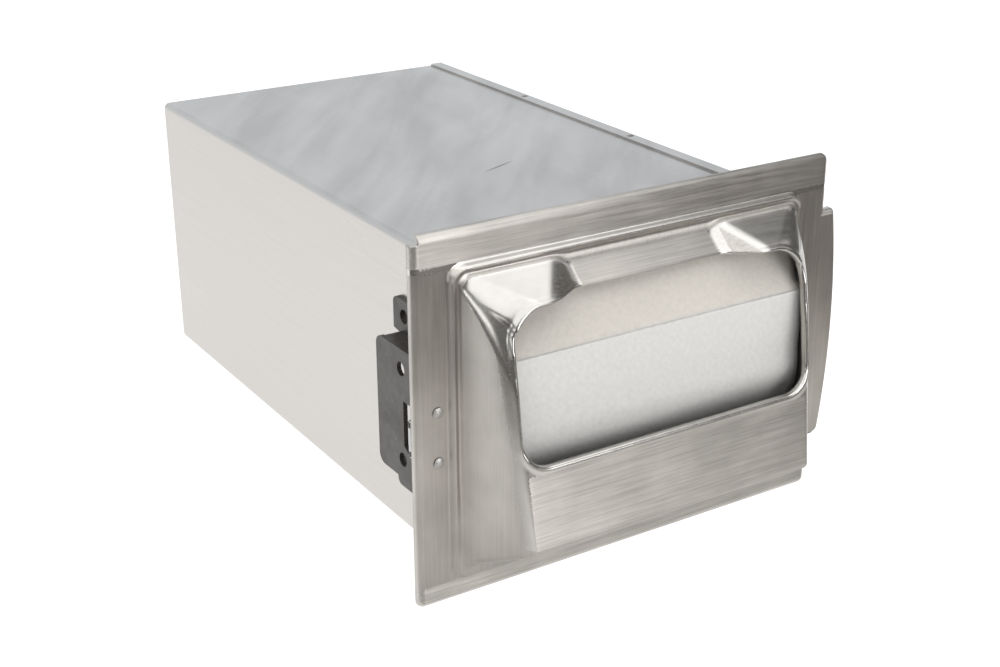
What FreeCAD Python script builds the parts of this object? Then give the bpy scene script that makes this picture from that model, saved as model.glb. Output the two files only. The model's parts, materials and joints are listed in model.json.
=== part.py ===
import FreeCAD
import Part
import math
import os

# Recessed paper towel dispenser, in millimetres.
#
# The origin is the middle of the wall opening, on the wall's surface.
# +X is to the right as seen from the room, +Y goes into the wall and +Z is up.
# A folded sheet casing sits in the wall. A pressed face plate covers the opening and
# swings on a pin at its left edge. Folded towels stand in the casing, and a sprung
# pusher drives them forward to the mouth in the plate's hood.

V = FreeCAD.Vector

# How far a cutter reaches past what it cuts
past = 1.0
quarter_turn = 90.0

# Casing
casing_width = 174.4
casing_height = 136.8
casing_front = -5.5
casing_back = 297.0
casing_sheet = 0.95
casing_bend = 3.0
lap_width = 8.0
lap_bend = 1.6
back_flange = 12.0
fit_gap = 0.1

# Face plate: how far it reaches past the casing on each side, and its sheet
flange_left = 18.2
flange_right = 23.4
flange_top = 14.6
flange_bottom = 14.7
face_standoff = 8.0
face_sheet = 1.0
edge_radius = 3.5

# Raised bead round the hood
bead_side_margin = 15.1
bead_top_margin = 13.8
bead_bottom_margin = 9.5
bead_height = 3.0
bead_draft = 0.7
bead_corner = 6.0
land_width = 4.7

# Hood: a leaning front from the chin up to the brow, two sides, an underside and a top
hood_foot_height = 16.9
chin_height = 33.2
chin_depth = 36.7
chin_inset = 12.8
brow_drop = 10.1
brow_depth = 21.9
hood_top_margin = 19.8
hood_bend = 4.5

# Mouth with its turned-in lip, and the finger scoop above it
mouth_side_margin = 12.6
mouth_bottom_height = 69.9
mouth_top_rim = 1.5
mouth_corner = 12.0
mouth_top_corner = 15.0
lip_depth = 4.0
scoop_half = 38.4
scoop_spread = 18.3
scoop_depth = 13.7
scoop_rim_drop = 12.5

# Pull tab on the plate's right edge
tab_bottom_height = 26.4
tab_top_margin = 29.3
tab_reach_low = 5.3
tab_reach_middle = 9.3
tab_reach_top = 5.5
tab_corner = 3.0
tab_root = 1.0

# Rivets
rivet_radius = 1.6
rivet_hole_gap = 0.05
rivet_head_radius = 3.0
rivet_head_height = 1.0
rivet_tail_radius = 2.4
rivet_tail_height = 0.9
low_head_radius = 2.4
low_head_height = 0.5
flat_head_height = 0.25
lap_rivet_places = (105.5, 202.0)
back_rivet_spacing = 70.0

# Mounting brackets: hat sections on both sides of the casing
bracket_sheet = 2.0
bracket_reach = 11.7
bracket_centre = -2.1
crown_height = 59.6
crown_front = -2.8
crown_back = 36.1
crown_corner = 4.5
ear_foot_height = 14.5
ear_foot_back = 38.0
ear_foot_corner = 3.0
window_centre = -5.6
window_height = 20.5
window_back = 13.7
window_slope_run = 3.9
window_slope_drop = 2.6
screw_hole_radius = 3.15
screw_spacing = 41.7
screw_place = 15.1
foot_hole_place = 29.0
foot_rivet_place = 5.5

# Hinge at the plate's left edge
hinge_height = -4.55
knuckle_radius = 1.6
knuckle_height = 10.6
pin_radius = 0.8
pin_play = 0.05
pin_head_radius = 1.3
pin_head_height = 0.7
ear_height = 2.0
ear_wall = 0.9
hinge_gap = 0.4
stack_gap = 0.2
leaf_sheet = 0.8
leaf_height = 36.8
leaf_inset = 0.4
leaf_rivet_spacing = 22.6
leaf_rivet_margin = 10.7
leaf_rivet_head_radius = 2.35
leaf_rivet_head_height = 0.7

# Magnetic catch at the right edge
catch_height = -6.65
catch_cover = 5.3
catch_length = 17.5
catch_block_height = 16.0
magnet_width = 5.6
magnet_length = 6.0
magnet_height = 12.0
magnet_rim = 0.7
catch_gap = 0.3
strike_height = 32.0
strike_inset = 0.4
strike_width = 10.8
strike_sheet = 0.8
catch_rivet_spacing = 8.0

# Pusher and its spring
pusher_floor_gap = 4.4
pusher_headroom = 7.4
pusher_sheet = 1.0
pusher_flange = 22.0
pusher_corner = 6.0
glide_thickness = 3.85
glide_foot = 6.0
glide_height = 10.0
glide_rivet_rise = 4.0
glide_rivet_places = (6.6, 16.5)
running_gap = 0.4
cup_radius = 23.0
cup_depth = 7.0
cup_rim = 8.0
cup_rivet_turns = (90, 210, 330)
spring_room = 80.0
spring_radius = 20.0
spring_wire = 2.0

# Towels
towel_side_gap = 3.75
towel_hood_gap = 1.0
towel_headroom = 14.1
towel_gap = 0.3
pile_front = -2.0
front_lean = 25.0
front_fold_height = 113.0
front_foot_rise = 5.4
front_sill_lean = 23.5
front_top_lean = 9.0

# Derived places
casing_half = casing_width / 2
casing_top = casing_height / 2
casing_floor = casing_sheet - casing_top
casing_wall = casing_half - casing_sheet
face_front = -face_standoff
face_back = face_front + face_sheet
face_left = -casing_half - flange_left
face_right = casing_half + flange_right
face_centre = (face_left + face_right) / 2
face_half = (face_right - face_left) / 2
face_drop = casing_top + flange_bottom
face_height = face_drop + casing_top + flange_top
bead_half = face_half - bead_side_margin
hood_foot_half = bead_half - bead_draft - land_width
hood_top_height = face_height - hood_top_margin
brow_height = hood_top_height - brow_drop
mouth_half = hood_foot_half - mouth_side_margin
mouth_top_height = brow_height - mouth_top_rim
scoop_rim_height = hood_top_height - scoop_rim_drop
tab_top_height = face_height - tab_top_margin
crown_outer = casing_half + bracket_reach
pin_x = face_left + knuckle_radius
pin_y = face_front + edge_radius + hinge_gap + knuckle_radius
leaf_edge = face_left + bead_side_margin - leaf_inset
strike_edge = face_right - bead_side_margin + strike_inset
catch_outer = strike_edge + catch_cover
pusher_half_width = casing_wall - running_gap - glide_thickness
pusher_bottom = casing_floor + pusher_floor_gap
pusher_top = -casing_floor - pusher_headroom
towel_half_width = casing_wall - towel_side_gap
towel_height = -2 * casing_floor - towel_gap - towel_headroom
towel_back = casing_back - spring_room
far = 400.0


def height(above_bottom):
    """Z of a place given by its height above the face plate's bottom edge."""
    return above_bottom - face_drop


def block(x, y, z):
    """Box between the pairs x, y and z."""
    return Part.makeBox(x[1] - x[0], y[1] - y[0], z[1] - z[0], V(x[0], y[0], z[0]))


def rod(radius, start, end):
    """Cylinder from start to end."""
    run = V(*end) - V(*start)
    return Part.makeCylinder(radius, run.Length, V(*start), run)


def fused(shapes):
    """One solid from overlapping or touching shapes."""
    return shapes[0].fuse(list(shapes[1:])).removeSplitter()


def mirrored(shape):
    """The same shape on the other side of the middle plane."""
    return shape.mirror(V(0, 0, 0), V(1, 0, 0))


def outline(points, radii=None):
    """Closed wire through the points, each corner rounded by its own radius."""
    points = [V(*point) for point in points]
    radii = radii or [0.0] * len(points)
    edges = []
    ends = []
    for index, point in enumerate(points):
        before = (points[index - 1] - point).normalize()
        after = (points[(index + 1) % len(points)] - point).normalize()
        if radii[index] <= 0:
            ends.append((point, point))
            continue
        half = before.getAngle(after) / 2
        run = radii[index] / math.tan(half)
        middle = (before + after).normalize()
        middle = middle * (radii[index] / math.sin(half) - radii[index])
        ends.append((point + before * run, point + after * run))
        edges.append(Part.Arc(ends[-1][0], point + middle, ends[-1][1]).toShape())
    for index in range(len(points)):
        start = ends[index][1]
        end = ends[(index + 1) % len(points)][0]
        edges.append(Part.LineSegment(start, end).toShape())
    return Part.Wire(Part.__sortEdges__(edges))


def panel_wire(x, z, y, radii):
    """Rectangle across x and z at depth y. Radii start at the low corner and go round."""
    points = [(x[0], y, z[0]), (x[1], y, z[0]), (x[1], y, z[1]), (x[0], y, z[1])]
    return outline(points, radii)


def panel(x, y, z, radii):
    """Rectangle across x and z with rounded corners, extruded from y[0] to y[1]."""
    return Part.Face(panel_wire(x, z, y[0], radii)).extrude(V(0, y[1] - y[0], 0))


def side_profile(points, x, radii=None):
    """Outline given as (y, z) points, extruded across the pair x."""
    wire = outline([(x[0], y, z) for y, z in points], radii)
    return Part.Face(wire).extrude(V(x[1] - x[0], 0, 0))


def top_profile(points, z, radii=None):
    """Outline given as (x, y) points, extruded up the pair z."""
    wire = outline([(x, y, z[0]) for x, y in points], radii)
    return Part.Face(wire).extrude(V(0, 0, z[1] - z[0]))


def rivet(place, inward, grip, head=(rivet_head_radius, rivet_head_height)):
    """Domed rivet: its head seats at place, and its shank goes inward through the grip."""
    head_radius, head_height = head
    ball = (head_radius ** 2 + head_height ** 2) / (2 * head_height)
    centre = V(0, 0, ball - head_height)
    rim = math.degrees(math.asin((ball - head_height) / ball))
    cap = Part.makeSphere(ball, centre, V(0, 0, -1), rim, quarter_turn, 4 * quarter_turn)
    shank = Part.makeCylinder(rivet_radius, grip)
    tail = Part.makeCylinder(rivet_tail_radius, rivet_tail_height, V(0, 0, grip))
    shape = fused([cap, shank, tail])
    turn = FreeCAD.Rotation(V(0, 0, 1), V(*inward))
    shape.Placement = FreeCAD.Placement(V(*place), turn)
    return shape


def rivet_hole(place, inward, grip):
    """Cutter for a rivet's hole."""
    start = V(*place) - V(*inward) * past
    return Part.makeCylinder(rivet_radius + rivet_hole_gap, grip + 2 * past, start, V(*inward))


def mouth_depth(z_height):
    """How far the hood's leaning front stands before the flange at a height."""
    share = (z_height - chin_height) / (brow_height - chin_height)
    return chin_depth + share * (brow_depth - chin_depth)


def meet(first, second):
    """Point where two lines in a plane cross. Each line is a point and a direction."""
    gap = second[0] - first[0]
    turn = first[1].x * second[1].y - first[1].y * second[1].x
    run = (gap.x * second[1].y - gap.y * second[1].x) / turn
    return first[0] + first[1] * run


def drawn_in(points, inset, back):
    """Chain of (y, side) points moved inward by the inset, with both ends carried to back."""
    end_line = (V(back, 0, 0), V(0, 1, 0))
    lines = [end_line]
    for start, end in zip(points, points[1:]):
        along = (V(end[0], end[1], 0) - V(start[0], start[1], 0)).normalize()
        shift = V(along.y, -along.x, 0) * inset
        lines.append((V(start[0], start[1], 0) + shift, along))
    lines.append(end_line)
    corners = [meet(first, second) for first, second in zip(lines, lines[1:])]
    return [(corner.x, corner.y) for corner in corners]


def hood_profile():
    """Hood seen from the side, as (y, z): foot, chin, brow and top."""
    land = face_front - bead_height
    return [(land, height(hood_foot_height)),
            (face_front - chin_depth, height(chin_height)),
            (face_front - brow_depth, height(brow_height)),
            (land, height(hood_top_height))]


def hood_plan():
    """Hood seen from above, as (y, x): its two sides, carried on past the chin."""
    land = face_front - bead_height
    lean = chin_inset / (chin_depth - bead_height)
    reach = chin_depth + land_width
    ahead = hood_foot_half - lean * (reach - bead_height)
    return [(land, -hood_foot_half), (face_front - reach, -ahead),
            (face_front - reach, ahead), (land, hood_foot_half)]


def hood_bends(body):
    """Edges of the hood that are bends: all before the flange but the brow."""
    bends = []
    for edge in body.Edges:
        middle = edge.CenterOfMass
        brow = abs(middle.x) < face_sheet and middle.z > height(mouth_bottom_height)
        if middle.y < face_front - bead_height and not brow:
            bends.append(edge)
    return bends


def hood_body(inset):
    """Filled hood. The inset is 0 for its outer side and the sheet for its inner side."""
    back = face_front + 2 * inset
    profile = drawn_in(hood_profile(), inset, back)
    plan = drawn_in(hood_plan(), inset, back)
    across = side_profile(profile, (-face_half, face_half))
    upright = top_profile([(x, y) for y, x in plan], (height(0), height(face_height)))
    body = across.common(upright)
    body = body.makeFillet(hood_bend - inset, hood_bends(body))
    return body.cut(scoop(inset))


def scoop(inset):
    """Trough above the mouth: a floor that slopes down to the rim, and two flared sides."""
    fall = scoop_rim_drop / (scoop_depth - bead_height)
    flare = ((brow_height - scoop_rim_height + fall * (brow_depth - scoop_depth))
             / scoop_spread)
    top = height(hood_top_height) - inset * math.hypot(1, fall)
    rise = flare * (face_half - scoop_half)
    wires = []
    for forward in (-bead_height, chin_depth):
        y = face_front - bead_height - forward
        floor = top - fall * forward
        wires.append(outline([(-scoop_half, y, floor), (scoop_half, y, floor),
                              (face_half, y, floor + rise), (face_half, y, floor + far),
                              (-face_half, y, floor + far), (-face_half, y, floor + rise)]))
    return Part.makeLoft(wires, True, True)


def bead_body(inset):
    """Filled bead under the hood, between rounded rectangles at its foot and its top."""
    wires = []
    for forward, draft in ((-inset, inset), (bead_height - inset, inset + bead_draft)):
        side = face_half - bead_side_margin - draft
        low = height(bead_bottom_margin + draft)
        high = height(face_height - bead_top_margin - draft)
        wires.append(panel_wire((-side, side), (low, high), face_front - forward,
                                [bead_corner - draft] * 4))
    body = Part.makeLoft(wires, True, True)
    if inset:
        side = face_half - bead_side_margin - inset
        low = height(bead_bottom_margin + inset)
        high = height(face_height - bead_top_margin - inset)
        body = fused([body, panel((-side, side), (face_back, face_back + face_sheet), (low, high),
                                  [bead_corner - inset] * 4)])
    return body


def mouth_cutter(grow):
    """Rounded bar through the mouth, grown by the sheet for the lip's outer side."""
    reach = (face_front - chin_depth - bead_height, face_front - 2 * bead_height)
    corners = [mouth_corner + grow] * 2 + [mouth_top_corner + grow] * 2
    return panel((-mouth_half - grow, mouth_half + grow), reach,
                 (height(mouth_bottom_height) - grow, height(mouth_top_height) + grow), corners)


def mouth_slab():
    """Leaning slab just behind the mouth's plane, as thick as the lip is deep."""
    points = []
    for level in (hood_foot_height, hood_top_height):
        points.append((face_front - mouth_depth(level), height(level)))
    points += [(y + lip_depth, z) for y, z in reversed(points)]
    return side_profile(points, (-face_half, face_half))


def edge_section():
    """Section of a bent edge: a quarter round from the flat at X 0 towards the back."""
    inner = edge_radius - face_sheet
    slope = math.sin(math.pi / 4)
    centre = face_front + edge_radius
    arc_out = Part.Arc(V(0, face_front, 0), V(edge_radius * slope, centre - edge_radius * slope, 0),
                       V(edge_radius, centre, 0)).toShape()
    arc_in = Part.Arc(V(inner, centre, 0), V(inner * slope, centre - inner * slope, 0),
                      V(0, face_back, 0)).toShape()
    tip = Part.LineSegment(V(edge_radius, centre, 0), V(inner, centre, 0)).toShape()
    root = Part.LineSegment(V(0, face_back, 0), V(0, face_front, 0)).toShape()
    return Part.Face(Part.Wire([arc_out, tip, arc_in, root]))


def placed(shape, turn, x, z):
    """The shape turned about Y by the angle and moved to x and z."""
    shape.rotate(V(0, 0, 0), V(0, 1, 0), turn)
    shape.translate(V(x, 0, z))
    return shape


def plate_edges():
    """Bent-back edges, with the right one broken by the tab, and three rounded corners."""
    flat = face_half - edge_radius
    low = height(edge_radius)
    high = height(face_height - edge_radius)
    tab_low = height(tab_bottom_height)
    tab_high = height(tab_top_height)
    runs = [(tab_low - low, 0, flat, low), (high - tab_high, 0, flat, tab_high),
            (high - low, 2 * quarter_turn, -flat, high),
            (2 * flat, -quarter_turn, flat, high), (2 * flat, quarter_turn, -flat, low)]
    edges = [placed(edge_section().extrude(V(0, 0, length)), turn, x, z)
             for length, turn, x, z in runs]
    corners = [(0, flat, low), (quarter_turn, -flat, low), (-quarter_turn, flat, high)]
    for turn, x, z in corners:
        round_edge = edge_section().revolve(V(0, 0, 0), V(0, 1, 0), quarter_turn)
        edges.append(placed(round_edge, turn, x, z))
    return edges


def pull_tab():
    """Flat strip past the right edge with a bowed outer side."""
    root = face_half - edge_radius - tab_root
    low = height(tab_bottom_height)
    high = height(tab_top_height)
    start = V(face_half + tab_reach_low, face_front, low + tab_corner)
    middle = V(face_half + tab_reach_middle, face_front, (low + high) / 2)
    end = V(face_half + tab_reach_top, face_front, high)
    turn = V(face_half + tab_reach_low - tab_corner, face_front, low)
    slack = tab_corner * (1 - math.cos(math.pi / 4))
    bend = V(face_half + tab_reach_low - slack, face_front, low + slack)
    edges = [Part.LineSegment(V(root, face_front, low), turn).toShape(),
             Part.Arc(turn, bend, start).toShape(),
             Part.Arc(start, middle, end).toShape(),
             Part.LineSegment(end, V(root, face_front, high)).toShape(),
             Part.LineSegment(V(root, face_front, high), V(root, face_front, low)).toShape()]
    return Part.Face(Part.Wire(edges)).extrude(V(0, face_sheet, 0))


def leaf_rivet_spots():
    """Front of the left flange where the hinge leaf is riveted."""
    x = face_left + leaf_rivet_margin
    return [(x, face_front, hinge_height + side * leaf_rivet_spacing / 2) for side in (-1, 1)]


def face_plate():
    """Pressed plate: flanges, bead, hood with its mouth, pull tab and bent edges."""
    flat = face_half - edge_radius
    sheet = block((-flat, flat), (face_front, face_back),
                  (height(edge_radius), height(face_height - edge_radius)))
    outer = fused([sheet, bead_body(0), hood_body(0)])
    plate = outer.cut(bead_body(face_sheet)).cut(hood_body(face_sheet))
    lip = mouth_cutter(face_sheet).cut(mouth_cutter(0)).common(hood_body(0)).common(mouth_slab())
    plate = plate.cut(mouth_cutter(0))
    plate = fused([plate, lip, pull_tab()] + plate_edges())
    plate.translate(V(face_centre, 0, 0))
    for spot in leaf_rivet_spots():
        plate = plate.cut(rivet_hole(spot, (0, 1, 0), face_sheet))
    return plate


def hinge_leaf():
    """Leaf behind the left flange with its knuckle round the pin."""
    low = hinge_height - leaf_height / 2
    edge = face_left + edge_radius + pin_play
    front = face_back
    flat = panel((edge, leaf_edge), (front, front + leaf_sheet), (low, low + leaf_height),
                 [leaf_sheet] * 4)
    knuckle_low = hinge_height - knuckle_height / 2
    span = (knuckle_low, knuckle_low + knuckle_height)
    strap = top_profile([(pin_x, pin_y - knuckle_radius), (pin_x + pin_radius, pin_y - pin_radius),
                         (edge + leaf_sheet, front + leaf_sheet),
                         (edge + leaf_sheet, front), (edge, front)], span)
    barrel = rod(knuckle_radius, (pin_x, pin_y, span[0]), (pin_x, pin_y, span[1]))
    bore = rod(pin_radius + pin_play, (pin_x, pin_y, span[0] - past),
               (pin_x, pin_y, span[1] + past))
    leaf = fused([flat, strap, barrel]).cut(bore)
    for spot in leaf_rivet_spots():
        leaf = leaf.cut(rivet_hole(spot, (0, 1, 0), face_sheet + leaf_sheet))
    return leaf


def hinge_rivets():
    grip = face_sheet + leaf_sheet
    head = (leaf_rivet_head_radius, leaf_rivet_head_height)
    return [rivet(spot, (0, 1, 0), grip, head) for spot in leaf_rivet_spots()]


def ear_span(side):
    """Bottom and top of the upper (1) or lower (-1) bracket ear that holds the pin."""
    near = hinge_height + side * (knuckle_height / 2 + stack_gap)
    return sorted((near, near + side * ear_height))


def hinge_pin():
    low = ear_span(-1)[0]
    high = ear_span(1)[1]
    shank = rod(pin_radius, (pin_x, pin_y, low), (pin_x, pin_y, high))
    foot = rod(pin_head_radius, (pin_x, pin_y, low - pin_head_height), (pin_x, pin_y, low))
    head = rod(pin_head_radius, (pin_x, pin_y, high), (pin_x, pin_y, high + pin_head_height))
    return fused([shank, foot, head])


def foot_spots(place):
    """Places on a bracket's two feet, at the given depth, on the left side."""
    centre = bracket_centre
    offset = crown_height / 2 + ear_foot_height / 2
    x = -casing_half - bracket_sheet
    return [(x, place, centre + side * offset) for side in (-1, 1)]


def bracket(with_ears):
    """Left mounting bracket: crown, two webs and two feet on the casing's side."""
    outer = -crown_outer
    wall = -casing_half
    low = bracket_centre - crown_height / 2
    high = bracket_centre + crown_height / 2
    skin = side_profile([(crown_front, low), (crown_back, low), (crown_back, high),
                         (crown_front, high)], (outer, outer + bracket_sheet),
                        [0, crown_corner, crown_corner, 0])
    pieces = [skin]
    for side in (-1, 1):
        edge = bracket_centre + side * crown_height / 2
        web = sorted((edge, edge - side * bracket_sheet))
        web_back = crown_back - crown_corner
        pieces.append(block((outer + bracket_sheet / 2, wall), (crown_front, web_back), web))
        tip = edge + side * ear_foot_height
        corner = [(crown_front, edge - side * bracket_sheet), (crown_front, tip),
                  (ear_foot_back, tip), (ear_foot_back, edge), (web_back, edge - side)]
        pieces.append(side_profile(corner, (wall - bracket_sheet, wall),
                                   [0, ear_foot_corner, ear_foot_corner, 0, 0]))
    shape = fused(pieces)
    middle = window_centre
    window = [(window_back, middle - window_height / 2), (window_back, middle + window_height / 2),
              (crown_front - past, middle + window_height / 2),
              (crown_front - past, middle - window_height / 2 - window_slope_drop),
              (window_back - window_slope_run,
               middle - window_height / 2 - window_slope_drop)]
    shape = shape.cut(side_profile(window, (outer - past, outer + bracket_sheet + past)))
    if with_ears:
        ear_radius = pin_radius + ear_wall
        for side in (-1, 1):
            span = ear_span(side)
            reach = middle + side * (window_height / 2 + window_slope_drop + bracket_sheet)
            strip = sorted((reach, span[0] if side > 0 else span[1]))
            shape = fused([shape,
                           block((outer, outer + bracket_sheet),
                                 (crown_front, pin_y + ear_radius), strip),
                           block((pin_x, outer + bracket_sheet),
                                 (pin_y - ear_radius, pin_y + ear_radius), span),
                           rod(ear_radius, (pin_x, pin_y, span[0]), (pin_x, pin_y, span[1]))])
        shape = shape.cut(rod(pin_radius, (pin_x, pin_y, low), (pin_x, pin_y, high)))
    holes = [(screw_place, bracket_centre - screw_spacing / 2),
             (screw_place, bracket_centre + screw_spacing / 2)]
    for y, z in holes:
        shape = shape.cut(rod(screw_hole_radius, (outer - past, y, z),
                              (outer + bracket_sheet + past, y, z)))
    for x, y, z in foot_spots(foot_hole_place):
        shape = shape.cut(rod(screw_hole_radius, (x - past, y, z), (wall + past, y, z)))
    for spot in foot_spots(foot_rivet_place):
        shape = shape.cut(rivet_hole(spot, (1, 0, 0), bracket_sheet))
    return shape


def bracket_rivets():
    grip = bracket_sheet + casing_sheet
    left = [rivet(spot, (1, 0, 0), grip) for spot in foot_spots(foot_rivet_place)]
    return left + [mirrored(shape) for shape in left]


def lap_rivet_spots():
    """Top lap of the side panel: (place, inward direction). The lower lap is welded."""
    x = casing_half - lap_width / 2
    return [((x, y, casing_top + casing_sheet), (0, 0, -1)) for y in lap_rivet_places]


def back_rivet_spots():
    """Rivets that hold the back panel to the right wall and to the floor."""
    y = casing_back - back_flange / 2
    spots = []
    for side in (-1, 1):
        along = side * back_rivet_spacing / 2
        spots.append(((casing_half, y, along), (-1, 0, 0)))
        spots.append(((along, y, -casing_top), (0, 0, 1)))
    return spots


def catch_rivet_spots():
    """Outer side of the catch block, behind its magnet."""
    y = catch_front() + (magnet_length + catch_length) / 2
    return [((catch_outer, y, catch_height + side * catch_rivet_spacing / 2), (-1, 0, 0))
            for side in (-1, 1)]


def catch_front():
    """Front of the catch block, just behind the strike plate."""
    return face_back + strike_sheet + catch_gap


def casing_shell():
    """Top, left wall and floor, folded from one sheet."""
    y = (casing_front, casing_back)
    right = casing_wall - (lap_bend - casing_sheet)
    outer = panel((-casing_half, right), y, (-casing_top, casing_top),
                  [casing_bend, 0, 0, casing_bend])
    inner_bend = casing_bend - casing_sheet
    inner = panel((-casing_wall, right + past), (y[0] - past, y[1] + past),
                  (casing_floor, -casing_floor), [inner_bend, 0, 0, inner_bend])
    shell = outer.cut(inner)
    for place, inward in lap_rivet_spots():
        shell = shell.cut(rivet_hole(place, inward, 2 * casing_sheet))
    for place, inward in back_rivet_spots():
        shell = shell.cut(rivet_hole(place, inward, 2 * casing_sheet))
    for spot in foot_spots(foot_rivet_place):
        shell = shell.cut(rivet_hole(spot, (1, 0, 0), bracket_sheet + casing_sheet))
    return shell


def side_panel():
    """Right wall with a flange lapping the top and another lapping the floor."""
    y = (casing_front, casing_back)
    left = casing_half - lap_width
    lap_top = casing_top + casing_sheet
    inner_bend = lap_bend - casing_sheet
    outer = panel((left, casing_half), y, (-lap_top, lap_top), [0, lap_bend, lap_bend, 0])
    inner = panel((left - past, casing_wall), (y[0] - past, y[1] + past), (-casing_top, casing_top),
                  [0, inner_bend, inner_bend, 0])
    shape = outer.cut(inner)
    for place, inward in lap_rivet_spots() + back_rivet_spots():
        shape = shape.cut(rivet_hole(place, inward, 2 * casing_sheet))
    for place, inward in catch_rivet_spots():
        shape = shape.cut(rivet_hole(place, inward, catch_outer - casing_wall))
    for spot in foot_spots(foot_rivet_place):
        right = mirrored(rivet_hole(spot, (1, 0, 0), bracket_sheet + casing_sheet))
        shape = shape.cut(right)
    return shape


def back_panel():
    """Shallow pan that closes the casing's rear, with its flanges forward."""
    x = casing_wall - fit_gap
    z = -casing_floor - fit_gap
    y = (casing_back - back_flange, casing_back)
    outer = panel((-x, x), y, (-z, z), [casing_bend] * 4)
    x -= casing_sheet
    z -= casing_sheet
    inner = panel((-x, x), (y[0] - past, y[1] - casing_sheet), (-z, z),
                  [casing_bend - casing_sheet] * 4)
    pan = outer.cut(inner)
    for place, inward in back_rivet_spots():
        pan = pan.cut(rivet_hole(place, inward, 2 * casing_sheet + fit_gap))
    seat = rivet_hole((0, casing_back, 0), (0, -1, 0), casing_sheet)
    return pan.cut(seat)


def lap_rivets():
    head = (low_head_radius, low_head_height)
    return [rivet(place, inward, 2 * casing_sheet, head) for place, inward in lap_rivet_spots()]


def back_rivets():
    grip = 2 * casing_sheet + fit_gap
    return [rivet(place, inward, grip) for place, inward in back_rivet_spots()]


def catch_block():
    """Plastic block on the right wall that holds the magnet behind the strike plate."""
    front = catch_front()
    z = (catch_height - catch_block_height / 2, catch_height + catch_block_height / 2)
    body = block((casing_half, catch_outer), (front, front + catch_length), z)
    body = body.cut(magnet(0))
    for place, inward in catch_rivet_spots():
        body = body.cut(rivet_hole(place, inward, catch_outer - casing_half))
    return body


def magnet(forward=catch_gap / 2):
    """Magnet set in the catch block's front, a little proud of it."""
    front = catch_front()
    x = catch_outer - magnet_rim - magnet_width
    return block((x, x + magnet_width), (front - forward, front + magnet_length),
                 (catch_height - magnet_height / 2, catch_height + magnet_height / 2))


def catch_rivets():
    grip = catch_outer - casing_wall
    head = (leaf_rivet_head_radius, leaf_rivet_head_height)
    return [rivet(place, inward, grip, head) for place, inward in catch_rivet_spots()]


def strike_plate():
    """Steel strip welded behind the right flange, where the magnet holds it."""
    low = catch_height - strike_height / 2
    return panel((strike_edge, strike_edge + strike_width), (face_back, face_back + strike_sheet),
                 (low, low + strike_height), [strike_sheet] * 4)


def pusher_front():
    """Front of the pusher at rest, just behind the full pile."""
    return towel_back + towel_gap


def cup_rivet_spots():
    """Three places round the spring cup's rim, on the pusher's front."""
    radius = cup_radius + cup_rim / 2
    spots = []
    for turn in cup_rivet_turns:
        angle = math.radians(turn)
        spots.append((radius * math.cos(angle), pusher_front(), radius * math.sin(angle)))
    return spots


def glide_rivet_spots():
    """Outer face of the left glide, at the pusher's flange."""
    x = -pusher_half_width - glide_thickness + rivet_head_height
    z = pusher_bottom + glide_rivet_rise
    y = pusher_front()
    return [(x, y + place, z) for place in glide_rivet_places]


def pusher_plate():
    """Sheet behind the towels, with a flange bent back on each side."""
    y = pusher_front()
    wide = (-pusher_half_width, pusher_half_width)
    z = (pusher_bottom, pusher_top)
    plate = panel(wide, (y, y + pusher_sheet), z, [0, 0, pusher_corner, pusher_corner])
    pieces = [plate]
    for side in (-1, 1):
        x = sorted((side * pusher_half_width, side * (pusher_half_width - pusher_sheet)))
        points = [(y, z[0]), (y + pusher_flange, z[0]), (y + pusher_flange, z[1] - pusher_corner),
                  (y, z[1] - pusher_corner)]
        pieces.append(side_profile(points, x, [0, 0, pusher_corner, 0]))
    shape = fused(pieces)
    for spot in cup_rivet_spots():
        shape = shape.cut(rivet_hole(spot, (0, 1, 0), pusher_sheet))
    for spot in glide_rivet_spots():
        hole = rivet_hole(spot, (1, 0, 0), glide_thickness + pusher_sheet)
        shape = shape.cut(hole).cut(mirrored(hole))
    return shape


def pusher_glides():
    """Plastic glides on the flanges' lower edges: they run on the floor and the walls."""
    y = pusher_front()
    low = casing_floor + running_gap
    outer = casing_wall - running_gap
    wall = pusher_half_width
    foot = wall - glide_foot
    points = [(-foot, low), (-foot, pusher_bottom), (-wall, pusher_bottom),
              (-wall, pusher_bottom + glide_height), (-outer, pusher_bottom + glide_height),
              (-outer, low + casing_bend), (-outer + casing_bend, low)]
    wire = outline([(x, y, z) for x, z in points])
    left = Part.Face(wire).extrude(V(0, pusher_flange, 0))
    for spot in glide_rivet_spots():
        left = left.cut(rivet_hole(spot, (1, 0, 0), glide_thickness))
        x = spot[0]
        seat = rod(rivet_head_radius + fit_gap, (-outer - past, spot[1], spot[2]),
                   (x, spot[1], spot[2]))
        left = left.cut(seat)
    return [left, mirrored(left)]


def pusher_rivets():
    cup_grip = pusher_sheet + pusher_sheet
    flat = (rivet_head_radius, flat_head_height)
    grip = glide_thickness - rivet_head_height + pusher_sheet
    cup = [rivet(spot, (0, 1, 0), cup_grip, flat) for spot in cup_rivet_spots()]
    sunk = (rivet_head_radius, rivet_head_height - fit_gap)
    left = [rivet(spot, (1, 0, 0), grip, sunk) for spot in glide_rivet_spots()]
    return cup + left + [mirrored(shape) for shape in left]


def spring_cup():
    """Pressed cup on the pusher's back, round the spring's front end."""
    y = pusher_front() + pusher_sheet
    rim = rod(cup_radius + cup_rim, (0, y, 0), (0, y + pusher_sheet, 0))
    wall = rod(cup_radius, (0, y, 0), (0, y + cup_depth, 0))
    bore = rod(cup_radius - pusher_sheet, (0, y + pusher_sheet, 0), (0, y + cup_depth + past, 0))
    cup = fused([rim, wall]).cut(bore)
    for spot in cup_rivet_spots():
        cup = cup.cut(rivet_hole((spot[0], y, spot[2]), (0, 1, 0), pusher_sheet))
    return cup


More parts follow.
